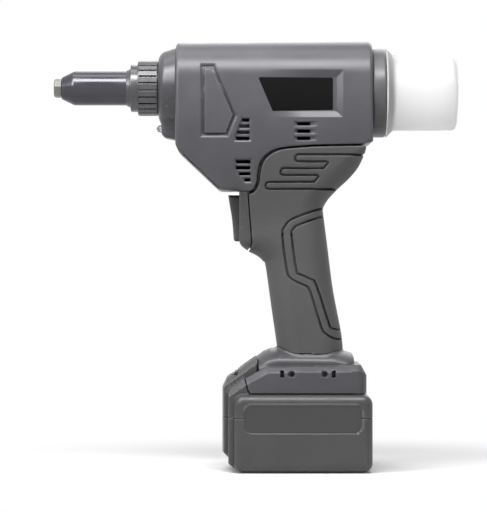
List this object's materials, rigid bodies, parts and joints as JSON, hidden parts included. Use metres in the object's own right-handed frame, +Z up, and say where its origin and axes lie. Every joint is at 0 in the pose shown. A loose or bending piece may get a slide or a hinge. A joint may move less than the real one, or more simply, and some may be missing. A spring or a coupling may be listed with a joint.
{
  "type": "battery rivet tool",
  "caption": "Cordless pistol-grip blind-rivet tool with a nose and jaws, ball-screw drive, trigger, mandrel container and slide-on battery pack.",
  "frame": {"origin": "centre of the battery pack's flat underside, on which the tool stands", "axes": "+Z up, nose toward -X and mandrel container toward +X, +Y to the tool's right-hand side"},
  "size_m": [0.2968, 0.076, 0.3155],
  "materials": {
    "housing_nylon": "fine moulded texture",
    "grip_rubber": "soft matt",
    "black_steel": "black oxide, satin",
    "steel": "machined",
    "cast_aluminium": "die cast",
    "brass": "machined",
    "copper": "drawn",
    "black_plastic": "moulded",
    "pack_nylon": "fine moulded texture",
    "circuit_board": "solder mask",
    "cell_wrap": "shrink wrap",
    "frosted_plastic": "frosted translucent",
    "clear_lens": "clear"
  },
  "bodies": {
    "housing": {"housing_left": "housing_nylon", "housing_right": "housing_nylon", "grip_left": "grip_rubber", "grip_right": "grip_rubber", "housing_screws": "steel", "nameplate": "black_plastic", "front_collar": "housing_nylon", "work_light_lens": "clear_lens", "lock_nut": "black_steel", "nose_sleeve": "black_steel", "nosepiece": "black_steel", "gear_case": "cast_aluminium", "gear_plate": "cast_aluminium", "gear_cover": "cast_aluminium", "case_screws": "steel", "nut_bearings": "steel", "idler_bushes": "brass", "motor_bearings": "steel", "guide_rod": "steel", "rear_ring": "housing_nylon", "guide_tube": "black_plastic", "motor_can": "steel", "motor_magnets": "black_plastic", "brush_plate": "black_plastic", "trigger_bezel": "pack_nylon", "switch_body": "black_plastic", "control_board": "circuit_board", "terminal_block": "black_plastic", "terminal_blades": "copper", "wiring": "copper", "hook_inserts": "brass"},
    "rotor": {"rotor_shaft": "steel", "rotor_core": "copper", "commutator": "copper", "cooling_fan": "black_plastic", "motor_pinion": "steel"},
    "idler": {"idler_shaft": "steel", "idler_gear": "steel"},
    "nut": {"ball_nut": "steel"},
    "puller": {"ball_screw": "steel", "pull_adapter": "steel", "jaw_case": "steel", "jaw_spring": "steel", "mandrel_tube": "steel", "guide_shoe": "black_plastic"},
    "jaw_set": {"jaws": "black_steel", "jaw_pusher": "black_steel"},
    "trigger": {"trigger": "pack_nylon"},
    "container": {"container": "frosted_plastic"},
    "battery": {"case_lower": "pack_nylon", "case_upper": "pack_nylon", "battery_cells": "cell_wrap", "cell_holder": "black_plastic", "cell_straps": "steel", "battery_board": "circuit_board", "battery_contacts": "copper", "battery_screws": "steel", "label_panels": "black_plastic", "latch_spring": "steel"},
    "latch": {"latch_button": "black_plastic"}
  },
  "joints": [
    {"name": "motor_spin", "type": "hinge", "parent": "housing", "child": "rotor", "pos_m": [0, 0, 0.23275], "axis": [1, 0, 0], "range_deg": [0, 33750]},
    {"name": "idler_spin", "type": "hinge", "parent": "housing", "child": "idler", "pos_m": [0, 0, 0.253], "axis": [1, 0, 0], "range_deg": [-6751, 1]},
    {"name": "nut_spin", "type": "hinge", "parent": "housing", "child": "nut", "pos_m": [0, 0, 0.2815], "axis": [1, 0, 0], "range_deg": [-1, 1801]},
    {"name": "pull_slide", "type": "slide", "parent": "housing", "child": "puller", "axis": [1, 0, 0], "range_m": [-0.00001, 0.02501]},
    {"name": "jaw_slide", "type": "slide", "parent": "puller", "child": "jaw_set", "axis": [-1, 0, 0], "range_m": [0, 0.0012]},
    {"name": "trigger_slide", "type": "slide", "parent": "housing", "child": "trigger", "axis": [1, 0, 0], "range_m": [0, 0.0055], "stiffness_N_per_m": 800, "springref_m": -0.004},
    {"name": "container_pull", "type": "slide", "parent": "housing", "child": "container", "axis": [1, 0, 0], "range_m": [0, 0.04]},
    {"name": "battery_slide", "type": "slide", "parent": "housing", "child": "battery", "axis": [-1, 0, 0], "range_m": [0, 0.09]},
    {"name": "latch_press", "type": "slide", "parent": "battery", "child": "latch", "axis": [0, 0, -1], "range_m": [0, 0.004], "stiffness_N_per_m": 600, "springref_m": -0.003, "deforming": ["latch_spring"]}
  ],
  "couplings": [
    {"joint": "idler_spin", "follows": "motor_spin", "ratio": -0.2},
    {"joint": "nut_spin", "follows": "motor_spin", "ratio": 0.053333},
    {"joint": "pull_slide", "follows": "motor_spin", "m_per_rad": 0.000042441}
  ]
}
